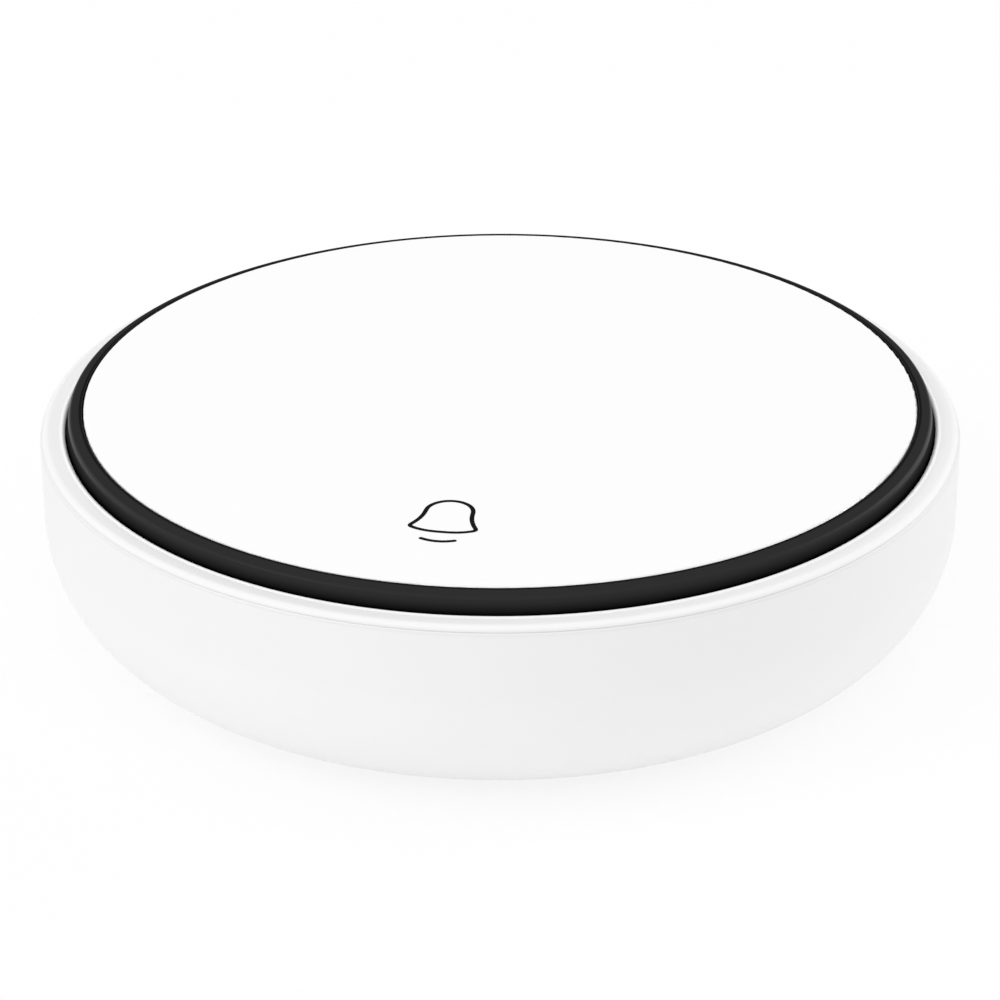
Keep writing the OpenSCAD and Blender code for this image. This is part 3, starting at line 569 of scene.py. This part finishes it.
def bell_path(count=480):
    """Middle line of the bell. The dome is a half circle, each side leaves it straight down and widens
    as a power of its drop, and the foot sags as a power of its half width. A running mean eases the
    corners."""
    turn = np.linspace(0.0, math.pi, 90)
    dome = np.stack([BELL_DOME_RADIUS * np.cos(turn), BELL_DOME_MIDDLE + BELL_DOME_RADIUS * np.sin(turn)], -1)
    drop = np.linspace(0.0, 1.0, 60)[1:]
    wide = BELL_DOME_RADIUS + (BELL_FOOT_HALF - BELL_DOME_RADIUS) * drop**BELL_FLARE
    side = np.stack([wide, BELL_DOME_MIDDLE + (BELL_FOOT - BELL_DOME_MIDDLE) * drop], -1)
    along = np.linspace(-1.0, 1.0, 90)[1:-1]
    sag = BELL_FOOT_SAG * (1.0 - np.abs(along) ** BELL_FOOT_POWER)
    foot = np.stack([BELL_FOOT_HALF * along, BELL_FOOT - sag], -1)
    outline = np.vstack([dome, side * (-1, 1), foot, side[::-1]])
    path, length = even_path(outline, count, True)
    reach = max(1, round(BELL_EASE / (length / count)))
    shifts = range(-reach, reach + 1)
    return np.mean([np.roll(path, s, axis=0) for s in shifts], axis=0)


def clapper_path(count=80):
    """Middle line of the clapper: a shallow parabola under the bell."""
    along = np.linspace(-1.0, 1.0, count)
    return np.stack([CLAPPER_HALF * along, CLAPPER_END - CLAPPER_SAG * (1.0 - along**2)], -1)


def ink_line(path, closed):
    """Points of a low ink line: a flat-topped profile carried along a path on the plate, with round ends.
    Near an open end the half width follows a circle, so the line closes in a half round."""
    ahead = np.roll(path, -1, axis=0) - np.roll(path, 1, axis=0)
    if not closed:
        ahead[0], ahead[-1] = path[1] - path[0], path[-1] - path[-2]
    ahead /= np.linalg.norm(ahead, axis=1)[:, None]
    square = np.stack([-ahead[:, 1], ahead[:, 0]], -1)
    half = np.full(len(path), PRINT_WIDTH / 2)
    if not closed:
        run = np.concatenate([[0.0], np.cumsum(np.linalg.norm(np.diff(path, axis=0), axis=1))])
        left = np.minimum(np.minimum(run, run[-1] - run) / (PRINT_WIDTH / 2), 1.0)
        half *= np.sqrt(np.clip(1.0 - (1.0 - left) ** 2, 1e-4, 1.0))
    across = np.array([-1.0, -PRINT_FLAT_SHARE, PRINT_FLAT_SHARE, 1.0])
    rise = np.array([-PRINT_SUNK_SHARE, 1.0, 1.0, -PRINT_SUNK_SHARE]) * PRINT_HEIGHT
    flat = path[:, None, :] + half[:, None, None] * across[None, :, None] * square[:, None, :]
    height = np.broadcast_to(PLATE_TOP + rise, flat.shape[:2])
    return np.concatenate([flat, height[..., None]], -1)


def make_print(material):
    """Bell and clapper lines as one printed piece on the plate."""
    points, faces = [], []
    for path, closed in ((bell_path(), True), (clapper_path(), False)):
        line = ink_line(path, closed)
        rows, columns = line.shape[:2]
        faces += tube_faces(rows, columns, closed, sum(len(p) for p in points))
        points.append(line.reshape(-1, 3))
    piece = mesh_object("bell_print", np.vstack(points), faces, material, smooth=False)
    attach(piece, "button")


def coil_path(low, high, count=480):
    """Middle line of a spring round the Z axis. The pitch is about one wire in the dead turns at each end and
    rises smoothly to the working pitch between them."""
    turns = np.linspace(0.0, COIL_TURNS, count)
    inside = np.clip(np.minimum(turns, COIL_TURNS - turns) - DEAD_TURNS, 0.0, EASE_TURNS) / EASE_TURNS
    share = inside**2 * (3.0 - 2.0 * inside)
    dead_rise = DEAD_PITCH * COIL_TURNS / (count - 1)
    work_rise = (high - low - dead_rise * (count - 1)) / share[1:].sum()
    height = low + np.concatenate([[0.0], np.cumsum(dead_rise + work_rise * share[1:])])
    middle = COIL_OUTER_RADIUS - WIRE_RADIUS
    angle = 2.0 * math.pi * turns
    return np.stack([middle * np.cos(angle), middle * np.sin(angle), height], -1)


def round_wire(path, radius, sides=14):
    """Points of a round wire: a circle carried along a path, square to it."""
    ahead = np.gradient(path, axis=0)
    ahead /= np.linalg.norm(ahead, axis=1)[:, None]
    out = np.cross(ahead, np.array([0.0, 0.0, 1.0]))
    out /= np.linalg.norm(out, axis=1)[:, None]
    up = np.cross(out, ahead)
    turn = np.linspace(0.0, 2.0 * math.pi, sides, endpoint=False)
    ring = out[:, None, :] * np.cos(turn)[None, :, None] + up[:, None, :] * np.sin(turn)[None, :, None]
    return path[:, None, :] + radius * ring


def make_springs():
    """Four coil springs that stand for the plain coils of the frame."""
    low = COIL_LOW.z + WIRE_RADIUS
    high = COIL_HIGH.z - WIRE_RADIUS
    circle = COIL_HIGH.x - COIL_OUTER_RADIUS
    wire = round_wire(coil_path(low, high), WIRE_RADIUS)
    rows, columns = wire.shape[:2]
    points, faces = [], []
    for i in range(SPRING_COUNT):
        angle = 2.0 * math.pi * i / SPRING_COUNT
        place = np.array([circle * math.cos(angle), circle * math.sin(angle), 0.0])
        points.append(wire.reshape(-1, 3) + place)
        faces += tube_faces(rows, columns, False, i * rows * columns)
    piece = mesh_object("wound_springs", np.vstack(points), faces, FINISHES["spring_steel"])
    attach(piece, "housing")
    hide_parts("return_springs")
    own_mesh(piece)


def make_dome():
    """Snap dome of the switch. Its upper face falls from the middle to the foot as the squared cosine of the
    radius, its lower face lies one sheet below, and both are turned about the Z axis."""
    reach = np.linspace(DOME_FLAT_SHARE, 1.0, 24)
    fall = np.cos(0.5 * math.pi * reach) ** 2
    height = DOME_HIGH.z - DOME_LOW.z
    under = DOME_LOW.z + (height - DOME_SHEET) * fall
    radius = DOME_HIGH.x * np.concatenate([reach, reach[::-1]])
    level = np.concatenate([under + DOME_SHEET, under[::-1]])
    points = turned(np.stack([radius, level], -1), 72)
    rows, columns = points.shape[:2]
    faces = tube_faces(rows, columns, False)
    piece = mesh_object("snap_dome", points, faces, FINISHES["contact_metal"])
    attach(piece, "housing")
    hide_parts("switch_dome")
    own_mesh(piece)


def place_camera():
    """Camera of the photograph, set by the size of the plate."""
    tilt = math.radians(CAMERA_TILT)
    turn = math.radians(CAMERA_AZIMUTH)
    back = CAMERA_DISTANCE * math.cos(tilt) + CAMERA_LOWER * math.sin(tilt)
    up = CAMERA_DISTANCE * math.sin(tilt) - CAMERA_LOWER * math.cos(tilt)
    data = bpy.data.cameras.new("camera")
    data.lens = CAMERA_LENS
    data.sensor_width = CAMERA_SENSOR
    data.clip_start = CAMERA_NEAR
    camera = bpy.data.objects.new("camera", data)
    camera.location = (
        PLATE_RADIUS * (CAMERA_ASIDE * math.cos(turn) + back * math.sin(turn)),
        PLATE_RADIUS * (CAMERA_ASIDE * math.sin(turn) - back * math.cos(turn)),
        PLATE_TOP + PLATE_RADIUS * up,
    )
    aim = Matrix.Rotation(turn, 3, "Z") @ Matrix.Rotation(math.pi / 2 - tilt, 3, "X")
    camera.rotation_euler = (aim @ Matrix.Rotation(math.radians(CAMERA_ROLL), 3, "Z")).to_euler()
    bpy.context.scene.collection.objects.link(camera)
    bpy.context.scene.camera = camera


def soft_box(name, width, height, power, azimuth, elevation, distance):
    """Area lamp aimed at the object from the given direction, in degrees."""
    data = bpy.data.lights.new(name, "AREA")
    data.shape = "RECTANGLE"
    data.size = width
    data.size_y = height
    data.energy = power
    lamp = bpy.data.objects.new(name, data)
    turn = math.radians(azimuth)
    rise = math.radians(elevation)
    lamp.location = (
        distance * math.cos(rise) * math.sin(turn),
        -distance * math.cos(rise) * math.cos(turn),
        distance * math.sin(rise),
    )
    lamp.rotation_euler = (math.pi / 2 - rise, 0.0, turn)
    bpy.context.scene.collection.objects.link(lamp)


def looked_at(tree):
    """Wire that is 1 for rays from the camera, straight or by a mirror or glass, and 0 for other rays."""
    seen, mirrored, through = (
        tree.node("LightPath", output=f"Is {kind} Ray") for kind in ("Camera", "Glossy", "Transmission"))
    return seen.math("MAXIMUM", seen, mirrored.math("MAXIMUM", mirrored, through))


def light_scene():
    """Even white surroundings, a wide lamp overhead, soft boxes left, front and right, and two low strips
    at the left and behind on the right that add to the light line on the shoulder of the black edge."""
    world = bpy.data.worlds.new("studio")
    world.use_nodes = True
    tree = Wire(world.node_tree)
    light = tree.node("Background", {}, {"Color": WHITE, "Strength": WORLD_LIGHT})
    white = tree.node("Background", {}, {"Color": WHITE, "Strength": WORLD_WHITE})
    mixed = tree.node("MixShader", {}, {0: looked_at(tree), 1: light, 2: white})
    world.node_tree.links.new(mixed.socket, world.node_tree.nodes["World Output"].inputs["Surface"])
    bpy.context.scene.world = world
    soft_box("lamp_top", width=0.8, height=0.8, power=0.93, azimuth=0.0, elevation=89.0, distance=1.0)
    soft_box("lamp_left", width=0.6, height=0.6, power=2.25, azimuth=-50.0, elevation=38.0, distance=1.0)
    soft_box("lamp_front", width=0.6, height=0.6, power=0.75, azimuth=10.0, elevation=38.0, distance=1.0)
    soft_box("lamp_right", width=0.6, height=0.4, power=1.37, azimuth=110.0, elevation=20.0, distance=1.0)
    soft_box("strip_right", width=0.5, height=0.12, power=0.52, azimuth=134.0, elevation=20.0, distance=0.8)
    soft_box("strip_left", width=0.3, height=0.12, power=0.17, azimuth=-100.0, elevation=28.0, distance=0.8)


def make_floor():
    """Plain white floor that keeps the object's shadow and meets the camera as white."""
    corners = FLOOR_HALF * np.array([[-1.0, -1.0, 0.0], [1.0, -1.0, 0.0], [1.0, 1.0, 0.0], [-1.0, 1.0, 0.0]])
    material, tree, shader = new_material("floor_white", Roughness=FLOOR_ROUGHNESS, Base_Color=FLOOR_GREY)
    glow = tree.node("Emission", {}, {"Color": WHITE, "Strength": 1.0})
    share = looked_at(tree) * FLOOR_GLOW_SHARE
    mixed = tree.node("MixShader", {}, {0: share, 1: Wire(tree.tree, shader.outputs[0]), 2: glow})
    tree.tree.links.new(mixed.socket, material.node_tree.nodes["Material Output"].inputs["Surface"])
    floor = mesh_object("floor", corners, [[0, 1, 2, 3]], material, smooth=False)


dress_nodes()
make_print(PRINT_FINISH)
make_rim(RIM_FINISH)
make_wall(WALL_FINISH)
make_edge(edge_black())
make_springs()
make_dome()
place_camera()
light_scene()
make_floor()
bpy.context.scene.view_settings.view_transform = "Standard"
